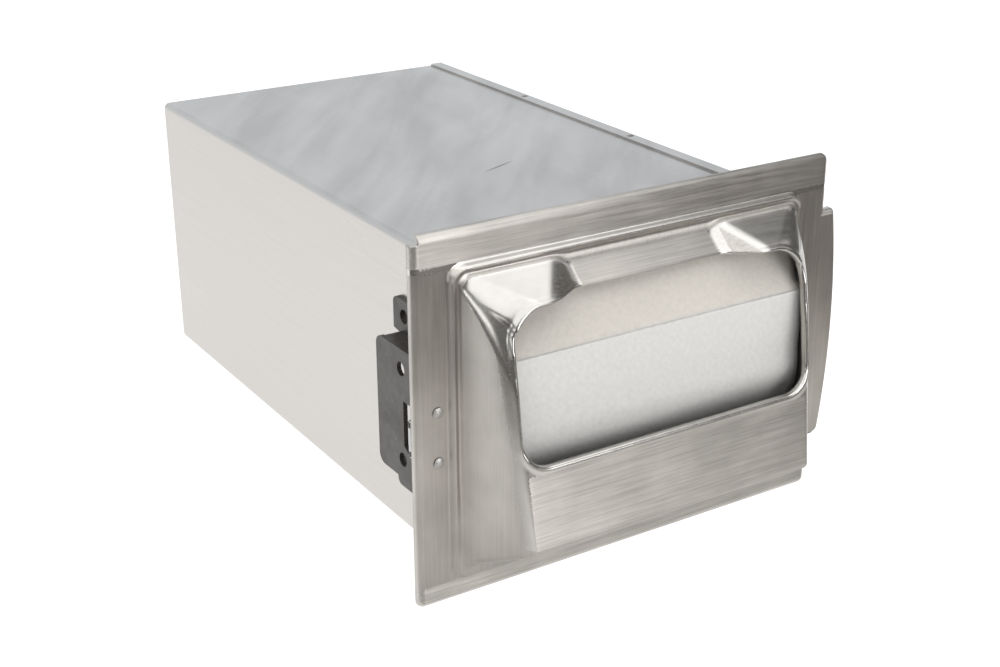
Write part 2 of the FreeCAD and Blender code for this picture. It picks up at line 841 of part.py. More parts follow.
def spring_seat():
    """Round cup riveted on the back panel for the spring's rear end."""
    y = casing_back - casing_sheet
    rim = rod(cup_radius + cup_rim, (0, y - casing_sheet, 0), (0, y, 0))
    wall = rod(cup_radius, (0, y - cup_depth, 0), (0, y, 0))
    bore = rod(cup_radius - casing_sheet, (0, y - cup_depth - past, 0), (0, y - casing_sheet, 0))
    return fused([rim, wall]).cut(bore).cut(
        rivet_hole((0, casing_back, 0), (0, -1, 0), 2 * casing_sheet))


def seat_rivet():
    return rivet((0, casing_back, 0), (0, -1, 0), 2 * casing_sheet)


def pusher_spring():
    """Compression spring between the pusher's cup and the seat, as its outer tube."""
    front = pusher_front() + 2 * pusher_sheet
    back = casing_back - 2 * casing_sheet
    tube = rod(spring_radius, (0, front, 0), (0, back, 0))
    return tube.cut(rod(spring_radius - spring_wire, (0, front - past, 0), (0, back + past, 0)))


def towel_pile():
    """Folded towels standing on edge, from the front towel back to the pusher."""
    low = casing_floor + towel_gap
    return block((-towel_half_width, towel_half_width), (pile_front, towel_back),
                 (low, low + towel_height))


def front_towel():
    """Next towel: it bulges into the hood, and keeps clear of the hood's two sides."""
    low = casing_floor + towel_gap
    top = low + towel_height
    points = [(pile_front, low + front_foot_rise),
              (pile_front - front_sill_lean, height(mouth_bottom_height)),
              (pile_front - front_lean, height(front_fold_height)),
              (pile_front - front_top_lean, top), (pile_front, top)]
    bulge = side_profile(points, (-towel_half_width, towel_half_width))
    room = drawn_in(hood_plan(), face_sheet + towel_hood_gap, pile_front)
    room = top_profile([(x + face_centre, y) for y, x in room], (low, top))
    return bulge.common(room)


def write(name, shape):
    """One STEP file for one named piece, or for a group of like fasteners."""
    if isinstance(shape, list):
        shape = Part.makeCompound(shape)
    solids = shape.Solids
    volume = sum(solid.Volume for solid in solids)
    print(f"{name}: {len(solids)} solid(s), {volume:.0f} mm3, valid {shape.isValid()}")
    shape.exportStep(os.path.join("parts", name + ".step"))


os.makedirs("parts", exist_ok=True)
pieces = {
    "face_plate": face_plate(),
    "hinge_leaf": hinge_leaf(),
    "hinge_rivets": hinge_rivets(),
    "strike_plate": strike_plate(),
    "casing_shell": casing_shell(),
    "side_panel": side_panel(),
    "back_panel": back_panel(),
    "lap_rivets": lap_rivets(),
    "back_rivets": back_rivets(),
    "left_bracket": bracket(True),
    "right_bracket": mirrored(bracket(False)),
    "bracket_rivets": bracket_rivets(),
    "hinge_pin": hinge_pin(),
    "catch_block": catch_block(),
    "catch_magnet": magnet(),
    "catch_rivets": catch_rivets(),
    "spring_seat": spring_seat(),
    "seat_rivet": seat_rivet(),
    "pusher_spring": pusher_spring(),
    "pusher_plate": pusher_plate(),
    "pusher_glides": pusher_glides(),
    "pusher_rivets": pusher_rivets(),
    "spring_cup": spring_cup(),
    "towel_pile": towel_pile(),
    "front_towel": front_towel(),
}
for name, shape in pieces.items():
    write(name, shape)
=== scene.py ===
import json
import math

import bpy
import numpy as np
from mathutils import Matrix, Vector


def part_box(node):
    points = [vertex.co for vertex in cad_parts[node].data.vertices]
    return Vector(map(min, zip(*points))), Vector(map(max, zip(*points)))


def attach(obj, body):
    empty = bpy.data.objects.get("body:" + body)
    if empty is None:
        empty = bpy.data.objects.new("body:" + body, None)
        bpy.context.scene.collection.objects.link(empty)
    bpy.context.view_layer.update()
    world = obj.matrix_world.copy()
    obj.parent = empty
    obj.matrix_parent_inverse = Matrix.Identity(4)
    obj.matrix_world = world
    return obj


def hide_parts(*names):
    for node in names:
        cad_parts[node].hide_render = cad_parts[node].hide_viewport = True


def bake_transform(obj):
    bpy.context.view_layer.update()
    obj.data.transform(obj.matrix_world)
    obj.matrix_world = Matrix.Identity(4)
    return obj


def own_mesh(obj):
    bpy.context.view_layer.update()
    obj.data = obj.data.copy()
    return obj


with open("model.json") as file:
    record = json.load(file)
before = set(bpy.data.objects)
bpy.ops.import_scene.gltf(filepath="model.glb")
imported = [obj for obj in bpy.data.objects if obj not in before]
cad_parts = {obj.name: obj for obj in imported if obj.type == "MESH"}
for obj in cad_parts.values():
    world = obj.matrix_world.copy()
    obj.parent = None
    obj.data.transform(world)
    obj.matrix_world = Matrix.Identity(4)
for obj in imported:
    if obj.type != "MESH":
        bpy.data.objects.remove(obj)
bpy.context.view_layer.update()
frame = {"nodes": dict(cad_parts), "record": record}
nodes = frame["nodes"]
MM = 0.001
QUARTER = math.pi / 2

# The camera stands where the photograph was taken from
CAMERA_PLACE = (-0.38083, -0.50900, 0.28013)
CAMERA_AZIMUTH = -32.232
CAMERA_ELEVATION = 22.730
CAMERA_ROLL = -0.176
CAMERA_LENS = 56.93
CAMERA_SENSOR = 36.0
CAMERA_SHIFT = (-0.0005, 0.0067)
CAMERA_NEAR = 0.01

# Face plate in mm: x from its middle, heights from its bottom, depths before its flange
HALF = 108.0
TALL = 166.1
EDGE = 3.5
FLANGE_CORNER = 0.02
SHEET = 1.0
BEAD_SIDE, BEAD_TOP, BEAD_BOTTOM = 15.1, 13.8, 9.5
BEAD_HEIGHT, BEAD_CORNER, BEAD_WIDE = 3.0, 9.0, 2.2
VALLEY_DEPTH, VALLEY_START, VALLEY_WIDE = 0.8, 2.2, 2.0
FOOT_HALF = 87.5
FOOT_H, CHIN_H, BROW_H, TOP_H = 16.9, 33.2, 136.2, 146.3
CHIN_D, BROW_D = 36.7, 21.9
SIDE_LEAN = 0.38
TOP_LEAN = (TOP_H - BROW_H) / (BROW_D - BEAD_HEIGHT)

# Mouth with its rolled rim, which stands up as a hem, most of all at the mouth's sides
MOUTH_HALF, MOUTH_LOW, MOUTH_HIGH = 74.7, 69.9, 134.7
MOUTH_CORNER, MOUTH_TOP_CORNER = 12.0, 15.0
RIM = 1.4
LIP_DEPTHS = (1.6, 0.8, 0.0)
HEM_HEIGHT, HEM_SIDE, HEM_FLAT, HEM_WIDE = 0.45, 1.4, 0.8, 1.5
HEM_SINK, HEM_SIDE_REACH, HEM_SIDE_WIDE = 0.3, 12.0, 8.0

# Cones at the hood's top corners, and the finger scoop
CROWN_CORNER, CROWN_GROWTH, CROWN_LEAST = 6.0, 0.8, 0.5
CROWN_SEARCH, CROWN_HALVINGS = (-40.0, 60.0), 24
SCOOP_HALF, SCOOP_FALL, SCOOP_FLARE = 38.4, 0.94, 0.58
SCOOP_SINK, SCOOP_BEND = 2.2, 2.4

# How far the hood's edges are rounded. At its sides the rounding grows with the height.
FRONT_ROUND, SIDE_ROUND, SIDE_ROUND_GROWTH, SIDE_BLEND = 5.0, 1.5, 0.06, 12.0
UNDER_ROUND, SCOOP_ROUND, BEAD_ROUND = 6.0, 3.0, 3.0

# Where the plate's finishes meet
RAISED_FROM, SCOOP_INSIDE, SCOOP_LINE = 0.5, 1.5, 0.5
APRON_DROP, CHIN_BAND = 2.5, 3.0
FACING_FRONT, FACING_SIDE = 0.3, 0.88
CORNER_SHARE = 0.74

# Pull tab: its bowed edge at three heights, its curled top and its rounded rim
TAB_LOW, TAB_HIGH = 26.4, 136.8
TAB_REACH = (5.3, 9.3, 5.5)
TAB_CORNER = 3.0
TAB_CURL, TAB_TAIL, TAB_RIM = 2.2, 4.6, 1.2

# Mesh of the plate: columns along its widths, heights and corners, and rings between them
ACROSS_COUNT, UPRIGHT_COUNT, CORNER_COUNT = 300, 130, 24
LOW_STEPS, TAB_STEPS = 20, 80
BEND_STEPS, FIELD_STEPS = 6, 84
TAB_ACROSS, CURL_STEPS, TAB_RIM_ANGLES = 8, 5, (30, 60, 90)

# Front towel in mm: its fold's height on the plate, and how its face bows and waves
FOLD_H = 113.0
TOWEL_GAP = 1.0
TOWEL_COLUMNS = 48
LOWER_STEPS, UPPER_STEPS = 8, 6
UPPER_TAPER, UPPER_SLANT, UPPER_CLEAR = 0.6, 0.5, 4.0
BOW, WAVE, WAVE_ACROSS, WAVE_UP, BOW_FADE = 0.5, 0.35, 2.6, 0.05, 8.0

# Pile in metres: towels that are a little out of line, each with rounded edges
PILE_TOWELS = 146
PILE_SIDE, PILE_TOP, PILE_ROUND = 0.0011, 0.0003, 0.3
PILE_SHIFTS = ((0.0005, 2.4), (0.0003, 0.9))
PILE_DROP, PILE_DROP_PACE = 0.0007, 1.7

# Spring in metres: round wire, with closed turns at both ends
WIRE = 0.001
COIL_TURNS, COIL_CLOSED, COIL_RISE = 9.0, 0.8, 1.2
COIL_STEPS, COIL_AROUND = 40, 8

# Places in metres that the finishes depend on
FOLD_Z, FOLD_FADE = 0.0303, 0.0006
TOP_FROM, TOP_FULL = 0.067, 0.0683
SCRATCH, SCRATCH_WIDE = ((-0.0113, 0.0927), (0.0132, 0.1025)), 0.0007


def add_camera():
    azimuth = math.radians(CAMERA_AZIMUTH)
    elevation = math.radians(CAMERA_ELEVATION)
    roll = math.radians(CAMERA_ROLL)
    back = Vector((math.sin(azimuth) * math.cos(elevation),
                   -math.cos(azimuth) * math.cos(elevation),
                   math.sin(elevation)))
    level = (-back).cross(Vector((0, 0, 1))).normalized()
    up = level.cross(-back)
    right = math.cos(roll) * level + math.sin(roll) * up
    top = math.cos(roll) * up - math.sin(roll) * level
    data = bpy.data.cameras.new("camera")
    data.lens = CAMERA_LENS
    data.sensor_width = CAMERA_SENSOR
    data.shift_x, data.shift_y = CAMERA_SHIFT
    data.clip_start = CAMERA_NEAR
    camera = bpy.data.objects.new("camera", data)
    turn = Matrix((right, top, back)).transposed().to_4x4()
    camera.matrix_world = Matrix.Translation(CAMERA_PLACE) @ turn
    bpy.context.scene.collection.objects.link(camera)
    bpy.context.scene.camera = camera


def add_object(name, vertices, faces, smooth=True):
    mesh = bpy.data.meshes.new(name)
    mesh.from_pydata([tuple(v) for v in vertices], [], faces)
    mesh.validate()
    obj = bpy.data.objects.new(name, mesh)
    bpy.context.scene.collection.objects.link(obj)
    mesh.polygons.foreach_set("use_smooth", [smooth] * len(mesh.polygons))
    return obj


def add_level(name, x_span, y_span, z):
    """Flat rectangle at one height."""
    (left, right), (front, back) = x_span, y_span
    return add_object(name, [(left, front, z), (right, front, z), (right, back, z),
                             (left, back, z)], [(0, 1, 2, 3)])


def lay_grain(mesh):
    """UV map seen from the front: U runs across and V up, for the direction of the grain."""
    layer = mesh.uv_layers.new(name="grain")
    for loop in mesh.loops:
        place = mesh.vertices[loop.vertex_index].co
        layer.data[loop.index].uv = (place.x, place.z)


def apply_modifiers(obj):
    graph = bpy.context.evaluated_depsgraph_get()
    mesh = bpy.data.meshes.new_from_object(obj.evaluated_get(graph))
    obj.modifiers.clear()
    obj.data = mesh


# Materials


class Nodes:
    """A node tree, with helpers for its textures."""

    def __init__(self, tree, place):
        self.tree = tree
        self.place = self.add("TexCoord").outputs[place]

    def add(self, kind, operation=None):
        node = self.tree.nodes.new("ShaderNode" + kind)
        if operation:
            node.operation = operation
        return node

    def link(self, output, target):
        self.tree.links.new(output, target)

    def feed(self, value, slot):
        """Links an output to an input, or sets the input to a number, vector or colour."""
        if isinstance(value, bpy.types.NodeSocket):
            self.link(value, slot)
        elif slot.type == "RGBA":
            slot.default_value = (*value, 1)
        else:
            slot.default_value = value

    def maths(self, operation, *values):
        node = self.add("Math", operation)
        for value, slot in zip(values, node.inputs):
            self.feed(value, slot)
        return node.outputs["Value"]

    def vector(self, operation, *values):
        node = self.add("VectorMath", operation)
        for value, slot in zip(values, node.inputs):
            self.feed(value, slot)
        return node.outputs["Value" if operation in ("DOT_PRODUCT", "LENGTH") else "Vector"]

    def noise(self, scale, detail=3.0, rough=0.55, distortion=0.0, turn=0.0):
        """Noise whose features are 1/scale metres apart along each axis, turned about Z."""
        mapping = self.add("Mapping")
        mapping.vector_type = "TEXTURE" if turn else "POINT"
        if turn:
            mapping.inputs["Rotation"].default_value = (0, 0, turn)
            scale = [1 / part for part in scale]
        mapping.inputs["Scale"].default_value = scale
        self.link(self.place, mapping.inputs["Vector"])
        noise = self.add("TexNoise")
        noise.inputs["Scale"].default_value = 1.0
        noise.inputs["Detail"].default_value = detail
        noise.inputs["Roughness"].default_value = rough
        noise.inputs["Distortion"].default_value = distortion
        self.link(mapping.outputs["Vector"], noise.inputs["Vector"])
        return noise.outputs["Fac"]

    def ramp(self, value, stops):
        """Colours, or greys, at the given places of a value."""
        ramp = self.add("ValToRGB")
        while len(ramp.color_ramp.elements) < len(stops):
            ramp.color_ramp.elements.new(0.5)
        for element, (place, color) in zip(ramp.color_ramp.elements, stops):
            if not hasattr(color, "__len__"):
                color = (color, color, color)
            element.position = place
            element.color = (*color, 1)
        self.link(value, ramp.inputs["Fac"])
        return ramp.outputs["Color"]

    def mix(self, first, second, share, kind="MIX"):
        node = self.add("Mix")
        node.data_type = "RGBA"
        node.blend_type = kind
        for value, index in ((share, 0), (first, 6), (second, 7)):
            self.feed(value, node.inputs[index])
        return node.outputs[2]

    def shaded(self, color, shade):
        return self.mix(color, shade, 1.0, "MULTIPLY")

    def along(self, axis):
        """The object's own coordinate along one axis, in metres."""
        split = self.add("SeparateXYZ")
        self.link(self.place, split.inputs[0])
        return split.outputs[axis]

    def spread(self, value, low, high, ends=(0.0, 1.0)):
        """A value turned into one end at low and the other at high."""
        node = self.add("MapRange")
        for name, number in (("From Min", low), ("From Max", high),
                             ("To Min", ends[0]), ("To Max", ends[1])):
            node.inputs[name].default_value = number
        self.link(value, node.inputs["Value"])
        return node.outputs["Result"]

    def mark(self, line, wide, share):
        """1 on a short line seen from above, given by its two ends, and 0 past its width."""
        start, end = (Vector((*spot, 0)) for spot in line)
        middle, reach = (start + end) / 2, (end - start) / 2
        side = Vector((-reach.y, reach.x, 0)).normalized() / wide
        gap = self.vector("SUBTRACT", self.place, middle)
        squares = [self.maths("POWER", self.vector("DOT_PRODUCT", gap, axis), 2.0)
                   for axis in (reach / reach.length_squared, side)]
        inside = self.spread(self.maths("ADD", *squares), 1.0, 0.2)
        return self.maths("MULTIPLY", inside, share)


class Finish(Nodes):
    """A node material on one Principled shader."""

    def __init__(self, name, color, metallic=0.0, roughness=0.5):
        self.material = bpy.data.materials.new(name)
        self.material.use_nodes = True
        tree = self.material.node_tree
        self.shader = tree.nodes["Principled BSDF"]
        self.shader.inputs["Base Color"].default_value = (*color, 1)
        self.shader.inputs["Metallic"].default_value = metallic
        self.shader.inputs["Roughness"].default_value = roughness
        super().__init__(tree, "Object")

    def paint(self, color):
        self.link(color, self.shader.inputs["Base Color"])

    def roughen(self, noise, low, high):
        """Roughness that follows a noise, which mostly stays between 0.3 and 0.7."""
        self.link(self.spread(noise, 0.3, 0.7, (low, high)), self.shader.inputs["Roughness"])

    def bump(self, height, strength, distance, before=None):
        node = self.add("Bump")
        node.inputs["Strength"].default_value = strength
        node.inputs["Distance"].default_value = distance
        self.link(height, node.inputs["Height"])
        if before:
            self.link(before, node.inputs["Normal"])
        self.link(node.outputs["Normal"], self.shader.inputs["Normal"])
        return node.outputs["Normal"]


def scaled(color, factor):
    return [part * factor for part in color]


def brushed_steel(name, axis, color, roughness, contrast, depth, gloss_spread=0.0):
    """Steel with fine scratches along one axis, which spread its gloss the other way."""
    steel = Finish(name, color, 1.0, roughness)
    if gloss_spread:
        grain = steel.add("Tangent")
        grain.direction_type = "UV_MAP"
        grain.uv_map = "grain"
        steel.link(grain.outputs["Tangent"], steel.shader.inputs["Tangent"])
        steel.shader.inputs["Anisotropic"].default_value = gloss_spread
        steel.shader.inputs["Anisotropic Rotation"].default_value = 0.25 if axis == "x" else 0.0
    scale = [1100.0, 1100.0, 1100.0]
    scale["xyz".index(axis)] = 28.0
    scratches = steel.noise(scale, 4.0, 0.65)
    clouds = steel.noise((38, 38, 38), 3.0)
    dark = scaled(color, 1 - contrast)
    light = [min(1.0, part) for part in scaled(color, 1 + contrast * 0.6)]
    streaks = steel.ramp(scratches, [(0.32, dark), (0.55, color), (0.72, light)])
    steel.paint(steel.shaded(streaks, steel.ramp(clouds, [(0.35, 0.86), (0.65, 1.0)])))
    steel.roughen(scratches, roughness * 0.85, roughness * 1.15)
    first = steel.bump(scratches, 0.5, depth)
    steel.bump(clouds, 0.3, 0.0005, first)
    return steel


def sheet_steel(name, color, roughness):
    """Plain rolled sheet: faint rolling lines, and a top with cloudy stains and a scratch."""
    steel = Finish(name, color, 1.0, roughness)
    lines = steel.noise((700, 9, 700), 3.0, 0.6)
    clouds = steel.noise((16, 5, 16), 4.0, 0.6, 0.5)
    smears = steel.noise((34, 6, 20), 3.0, 0.55, 0.3, turn=math.radians(-38))
    spots = steel.noise((260, 260, 260), 2.0)
    tone = steel.ramp(clouds, [(0.3, scaled(color, 0.94)), (0.62, color)])
    tone = steel.shaded(tone, steel.ramp(lines, [(0.35, 0.97), (0.65, 1.0)]))
    on_top = steel.spread(steel.along("Z"), TOP_FROM, TOP_FULL)
    stain = steel.ramp(smears, [(0.36, 0.80), (0.5, 0.93), (0.64, 1.04)])
    tone = steel.mix(tone, steel.shaded(tone, stain), on_top)
    scratch = steel.mark(SCRATCH, SCRATCH_WIDE, on_top)
    steel.paint(steel.mix(tone, (0.16, 0.15, 0.14), scratch))
    steel.roughen(clouds, roughness - 0.06, roughness + 0.08)
    first = steel.bump(clouds, 0.2, 0.0012)
    steel.bump(spots, 0.08, 0.0002, first)
    return steel


def plain_metal(name, color, roughness):
    metal = Finish(name, color, 1.0, roughness)
    fine = metal.noise((420, 420, 420), 4.0)
    metal.paint(metal.ramp(fine, [(0.3, scaled(color, 0.82)), (0.7, color)]))
    metal.roughen(fine, roughness - 0.06, roughness + 0.1)
    metal.bump(fine, 0.25, 0.0002)
    return metal


def black_paint():
    paint = Finish("black_paint", (0.05, 0.046, 0.043), 0.0, 0.42)
    dust = paint.noise((260, 260, 260), 5.0, 0.6)
    wear = paint.noise((60, 60, 60), 4.0)
    paint.paint(paint.ramp(dust, [(0.35, (0.040, 0.034, 0.029)), (0.62, (0.058, 0.050, 0.043)),
                                  (0.78, (0.11, 0.10, 0.09))]))
    paint.roughen(wear, 0.34, 0.52)
    paint.bump(dust, 0.2, 0.0002)
    return paint


def moulded_plastic(name, color):
    plastic = Finish(name, color, 0.0, 0.5)
    grain = plastic.noise((900, 900, 900), 2.0)
    plastic.paint(plastic.ramp(grain, [(0.3, scaled(color, 0.9)), (0.7, color)]))
    plastic.roughen(grain, 0.45, 0.6)
    plastic.bump(grain, 0.2, 0.0001)
    return plastic


def towel_paper():
    """Soft pressed paper: fibres, fine diagonal embossing, and painted warm light on the upper
    ply.
    """
    paper = Finish("towel_paper", (0.66, 0.65, 0.625), 0.0, 0.9)
    fibres = paper.noise((420, 420, 420), 5.0, 0.7)
    waves = paper.add("TexWave")
    waves.wave_type = "BANDS"
    waves.bands_direction = "DIAGONAL"
    waves.inputs["Scale"].default_value = 160.0
    waves.inputs["Distortion"].default_value = 1.2
    paper.link(paper.place, waves.inputs["Vector"])
    tone = paper.ramp(fibres, [(0.3, (0.53, 0.525, 0.51)), (0.7, (0.60, 0.595, 0.58))])
    # Painted warm light: above the fold the paper is tinted warm and a little darker, for light
    # reflected onto the upper ply.
    upper = paper.spread(paper.along("Z"), FOLD_Z, FOLD_Z + FOLD_FADE)
    paper.paint(paper.mix(tone, paper.shaded(tone, (1.0, 0.955, 0.90)), upper))
    first = paper.bump(waves.outputs["Fac"], 0.16, 0.0002)
    paper.bump(fibres, 0.3, 0.0003, first)
    paper.shader.inputs["Sheen Weight"].default_value = 0.15
    return paper


across = brushed_steel("steel_across", "x", (0.62, 0.595, 0.56), roughness=0.42, contrast=0.22,
                       depth=0.00010, gloss_spread=0.75)
upright = brushed_steel("steel_upright", "z", (0.57, 0.545, 0.51), roughness=0.38, contrast=0.12,
                        depth=0.00006, gloss_spread=0.6)
smooth_steel = brushed_steel("steel_pressed", "x", (0.64, 0.625, 0.60), roughness=0.24,
                             contrast=0.04, depth=0.000004)
finishes = {
    "casing_sheet": sheet_steel("casing_steel", (0.58, 0.555, 0.53), 0.3),
    "black_paint": black_paint(),
    "rivet_metal": plain_metal("rivet_metal", (0.60, 0.59, 0.57), 0.5),
    "plain_steel": plain_metal("plain_steel", (0.58, 0.585, 0.59), 0.38),
    "spring_steel": plain_metal("spring_steel", (0.40, 0.40, 0.41), 0.3),
    "grey_plastic": moulded_plastic("grey_plastic", (0.56, 0.56, 0.55)),
    # Painted shade: a dark steel colour for inner faces, for the shade inside the dispenser.
    "steel_inside": plain_metal("steel_inside", (0.25, 0.24, 0.23), 0.5),
    "magnet_black": plain_metal("magnet_black", (0.12, 0.12, 0.125), 0.5),
    "brushed_stainless": across,
    "towel_paper": towel_paper(),
}
for part in frame["record"]["subparts"]:
    for slot in nodes[part["node"]].material_slots:
        slot.material = finishes[part["material_slot"]].material


# Face plate


def soft_min(a, b, reach):
    near = np.clip(1 - np.abs(a - b) / reach, 0, 1)
    return np.minimum(a, b) - near * near * reach / 4


def soft_step(value):
    value = np.clip(value, 0, 1)
    return value * value * (3 - 2 * value)


def inset(x, h, half, rise, radius):
    """How far places lie inside a rounded corner; half and rise are where its sides run."""
    past_x = x - half + radius
    past_h = h - rise + radius
    return (radius - np.hypot(np.maximum(past_x, 0), np.maximum(past_h, 0))
            - np.minimum(np.maximum(past_x, past_h), 0))


def crown(ahead):
    """Half width, top and corner radius of the hood at a depth before the bead."""
    radius = np.maximum(CROWN_CORNER + CROWN_GROWTH * ahead, CROWN_LEAST)
    return FOOT_HALF - SIDE_LEAN * ahead, TOP_H - TOP_LEAN * ahead, radius


def crown_depth(x, h):
    """Depth of the hood's side, its top and the cone between them, found by halving."""
    low, high = (np.full(x.shape, end) for end in CROWN_SEARCH)
    for _ in range(CROWN_HALVINGS):
        middle = (low + high) / 2
        held = inset(x, h, *crown(middle - BEAD_HEIGHT)) > 0
        low = np.where(held, middle, low)
        high = np.where(held, high, middle)
    return low


def front_depth(h):
    """Depth of the hood's leaning front."""
    return CHIN_D + (h - CHIN_H) * (BROW_D - CHIN_D) / (BROW_H - CHIN_H)


def scoop_depth(x, h):
    """Depth of the finger scoop, which flares past its ends in a soft bend."""
    past = np.clip(x - SCOOP_HALF + SCOOP_BEND, 0, 2 * SCOOP_BEND)
    flare = SCOOP_FLARE * (past * past / (4 * SCOOP_BEND)
                           + np.maximum(x - SCOOP_HALF - SCOOP_BEND, 0))
    return BEAD_HEIGHT - SCOOP_SINK + (TOP_H + flare - h) / SCOOP_FALL


def plate_depth(x, h):
    """How far the pressed sheet stands before the flange at each place."""
    x = np.abs(x)
    middle = (BEAD_BOTTOM + TALL - BEAD_TOP) / 2
    bead_rise = (TALL - BEAD_TOP - BEAD_BOTTOM) / 2
    inside = inset(x, np.abs(h - middle), HALF - BEAD_SIDE, bead_rise, BEAD_CORNER)
    bead = BEAD_HEIGHT * soft_step(inside / BEAD_WIDE)
    valley = VALLEY_DEPTH * soft_step((h - CHIN_H) / CHIN_H)
    bead -= valley * soft_step((inside - VALLEY_START) / VALLEY_WIDE)
    under = BEAD_HEIGHT + (h - FOOT_H) * (CHIN_D - BEAD_HEIGHT) / (CHIN_H - FOOT_H)
    top = BEAD_HEIGHT + (TOP_H - h) / TOP_LEAN
    side = BEAD_HEIGHT + (FOOT_HALF - x) / SIDE_LEAN
    beside = soft_step(0.5 + (top - side) / SIDE_BLEND)
    rounding = FRONT_ROUND + beside * (SIDE_ROUND + SIDE_ROUND_GROWTH * (h - CHIN_H))
    hood = soft_min(crown_depth(x, h), front_depth(h), rounding)
    hood = soft_min(hood, under, UNDER_ROUND)
    hood = soft_min(hood, scoop_depth(x, h), SCOOP_ROUND)
    return -soft_min(-bead, -hood, BEAD_ROUND)


def rounded_outline(half, low, high, corners, right_heights=None):
    """Points and outward directions round a rounded rectangle, from its low left end.
    The corners are the radii at the low and at the high end."""
    foot, head = corners
    sides = [((-half + foot, low), (half - foot, low), (0, -1), ACROSS_COUNT),
             ((half, low + foot), (half, high - head), (1, 0), UPRIGHT_COUNT),
             ((half - head, high), (-half + head, high), (0, 1), ACROSS_COUNT),
             ((-half, high - head), (-half, low + foot), (-1, 0), UPRIGHT_COUNT)]
    middles = [(half - foot, low + foot), (half - head, high - head),
               (-half + head, high - head), (-half + foot, low + foot)]
    points = []
    normals = []
    for index, (start, end, normal, count) in enumerate(sides):
        for step in range(count + 1):
            share = step / count
            x = start[0] + (end[0] - start[0]) * share
            h = start[1] + (end[1] - start[1]) * share
            if index == 1 and right_heights is not None:
                h = right_heights[step]
            points.append((x, h))
            normals.append(normal)
        begin = math.atan2(normal[1], normal[0])
        radius = foot if index in (0, 3) else head
        for step in range(1, CORNER_COUNT):
            angle = begin + QUARTER * step / CORNER_COUNT
            normals.append((math.cos(angle), math.sin(angle)))
            points.append((middles[index][0] + radius * math.cos(angle),
                           middles[index][1] + radius * math.sin(angle)))
    return np.array(points), np.array(normals)


def flange_heights():
    """Heights of the columns on the flange's right edge: two of them are the tab's ends."""
    high_steps = UPRIGHT_COUNT - LOW_STEPS - TAB_STEPS
    return np.concatenate([np.linspace(EDGE, TAB_LOW, LOW_STEPS + 1)[:-1],
                           np.linspace(TAB_LOW, TAB_HIGH, TAB_STEPS + 1)[:-1],
                           np.linspace(TAB_HIGH, TALL - EDGE, high_steps + 1)])


def plate_rings(mouth, mouth_out, flat, flat_out):
    """Rings of places and their depths, from the lip of the mouth to the bent-back edge."""
    depth_rim = plate_depth(mouth[:, 0], mouth[:, 1])
    lack = np.clip(front_depth(mouth[:, 1]) - depth_rim - HEM_SINK, HEM_HEIGHT, HEM_SIDE)
    beside = soft_step((np.abs(mouth[:, 0]) - MOUTH_HALF + HEM_SIDE_REACH) / HEM_SIDE_WIDE)
    hem_height = HEM_HEIGHT + (lack - HEM_HEIGHT) * beside
    depth_rim += hem_height
    rings = [(mouth - mouth_out * RIM, depth_rim - RIM - straight) for straight in LIP_DEPTHS]
    for step in range(BEND_STEPS - 1, 0, -1):
        angle = QUARTER * step / BEND_STEPS
        rings.append((mouth - mouth_out * RIM * math.sin(angle),
                      depth_rim - RIM * (1 - math.cos(angle))))
    for step in range(FIELD_STEPS + 1):
        spot = mouth + (flat - mouth) * step / FIELD_STEPS
        away = np.linalg.norm(spot - mouth, axis=1)
        hem = hem_height * soft_step(1 - (away - HEM_FLAT) / HEM_WIDE)
        rings.append((spot, plate_depth(spot[:, 0], spot[:, 1]) + hem))
    for step in range(1, BEND_STEPS + 1):
        angle = QUARTER * step / BEND_STEPS
        rings.append((flat + flat_out * EDGE * math.sin(angle),
                      np.full(len(flat), -EDGE * (1 - math.cos(angle)))))
    return rings


def ring_faces(ring_count, root, flat, flat_out, tab):
    """Faces between the rings. The edge past the root ring is open at the tab's columns
    and at the top left corner."""
    columns = len(flat)
    faces = []
    for ring in range(ring_count - 1):
        for column in range(columns):
            after = (column + 1) % columns
            if ring >= root:
                at_corner = abs(flat_out[column] - flat_out[after]).max() > 0
                left_top = flat[column][0] < 0 and flat[column][1] > TALL / 2
                if column in tab or (at_corner and left_top):
                    continue
            a = ring * columns + column
            b = ring * columns + after
            faces.append((a, a + columns, b + columns, b))
    return faces


def tab_edge(h):
    """Outer edge of the pull tab at a height: a bow, with a rounded low corner."""
    share = (h - TAB_LOW) / (TAB_HIGH - TAB_LOW)
    low, middle, high = TAB_REACH
    reach = (low * (1 - share) * (1 - 2 * share) + middle * 4 * share * (1 - share)
             - high * share * (1 - 2 * share))
    drop = np.clip(TAB_CORNER - (h - TAB_LOW), 0, TAB_CORNER)
    return HALF + reach - TAB_CORNER + np.sqrt(np.maximum(TAB_CORNER ** 2 - drop ** 2, 0))


def tab_mesh(heights, first_root, first_own):
    """Points and faces of the pull tab. It starts on the flange's points, numbered from
    first_root, and its own points are numbered from first_own."""
    rows = [(h, 0.0) for h in heights]
    for step in range(1, CURL_STEPS + 1):
        angle = QUARTER * step / CURL_STEPS
        rows.append((TAB_HIGH + TAB_CURL * math.sin(angle), TAB_CURL * (1 - math.cos(angle))))
    rows.append((TAB_HIGH + TAB_CURL, TAB_TAIL))
    points = []
    grid = []
    for index, (h, behind) in enumerate(rows):
        edge = float(tab_edge(np.array(min(h, TAB_HIGH)))) - TAB_RIM
        own = [((HALF - EDGE) + (edge - HALF + EDGE) * step / TAB_ACROSS, behind, h)
               for step in range(TAB_ACROSS + 1)]
        for angle in map(math.radians, TAB_RIM_ANGLES):
            own.append((edge + TAB_RIM * math.sin(angle),
                        behind + TAB_RIM * (1 - math.cos(angle)), h))
        row = []
        if index < len(heights):
            row.append(first_root + index)
            own = own[1:]
        start = first_own + len(points)
        grid.append(row + list(range(start, start + len(own))))
        points += own
    faces = []
    for lower, upper in zip(grid, grid[1:]):
        faces += zip(lower, lower[1:], upper[1:], upper)
    return points, faces


